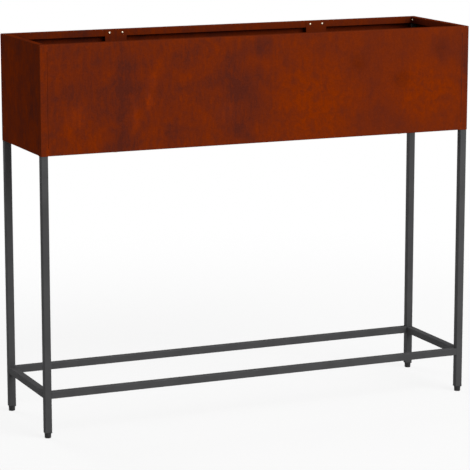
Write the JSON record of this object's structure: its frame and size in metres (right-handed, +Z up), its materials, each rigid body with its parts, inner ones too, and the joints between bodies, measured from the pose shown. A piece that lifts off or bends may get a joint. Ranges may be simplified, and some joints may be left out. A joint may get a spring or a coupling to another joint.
{
  "type": "elevated planter",
  "caption": "Long narrow planter trough of folded weathering steel on a tall slim frame of black square tube, with a low stretcher ring and screw-in levelling feet.",
  "frame": {"origin": "on the ground under the middle of the planter, with the feet screwed fully in", "axes": "+X along the trough to the right, +Y from the front to the back, +Z up"},
  "size_m": [1.2, 0.31, 0.998],
  "materials": {
    "weathered_steel": "matte rust patina on weathering steel sheet, mottled orange-brown",
    "black_frame": "fine-textured matt black powder coat",
    "zinc_fasteners": "bright zinc plate",
    "black_plastic": "moulded black plastic"
  },
  "bodies": {
    "planter": {"front_panel": "weathered_steel", "back_panel": "weathered_steel", "left_end_panel": "weathered_steel", "right_end_panel": "weathered_steel", "floor_tray": "weathered_steel", "front_left_brace": "weathered_steel", "front_right_brace": "weathered_steel", "back_left_brace": "weathered_steel", "back_right_brace": "weathered_steel", "front_left_leg": "black_frame", "front_right_leg": "black_frame", "back_left_leg": "black_frame", "back_right_leg": "black_frame", "front_stretcher": "black_frame", "back_stretcher": "black_frame", "left_stretcher": "black_frame", "right_stretcher": "black_frame", "front_bearer": "black_frame", "back_bearer": "black_frame", "left_bearer": "black_frame", "right_bearer": "black_frame", "rail_spigots": "black_frame", "spigot_screws": "zinc_fasteners", "leg_inserts": "zinc_fasteners", "corner_screws": "zinc_fasteners", "brace_foot_inserts": "zinc_fasteners", "brace_foot_screws": "zinc_fasteners", "panel_inserts": "zinc_fasteners", "panel_screws": "zinc_fasteners", "brace_screws": "zinc_fasteners", "brace_nuts": "zinc_fasteners", "rim_corner_screws": "zinc_fasteners", "rim_corner_nuts": "zinc_fasteners", "front_left_leg_plug": "black_plastic", "front_right_leg_plug": "black_plastic", "back_left_leg_plug": "black_plastic", "back_right_leg_plug": "black_plastic"},
    "front_left_foot": {"front_left_foot": "black_plastic"},
    "front_right_foot": {"front_right_foot": "black_plastic"},
    "back_left_foot": {"back_left_foot": "black_plastic"},
    "back_right_foot": {"back_right_foot": "black_plastic"}
  },
  "joints": [
    {"name": "front_left_levelling", "type": "slide", "parent": "planter", "child": "front_left_foot", "axis": [0, 0, -1], "range_m": [0, 0.01]},
    {"name": "front_right_levelling", "type": "slide", "parent": "planter", "child": "front_right_foot", "axis": [0, 0, -1], "range_m": [0, 0.01]},
    {"name": "back_left_levelling", "type": "slide", "parent": "planter", "child": "back_left_foot", "axis": [0, 0, -1], "range_m": [0, 0.01]},
    {"name": "back_right_levelling", "type": "slide", "parent": "planter", "child": "back_right_foot", "axis": [0, 0, -1], "range_m": [0, 0.01]}
  ]
}
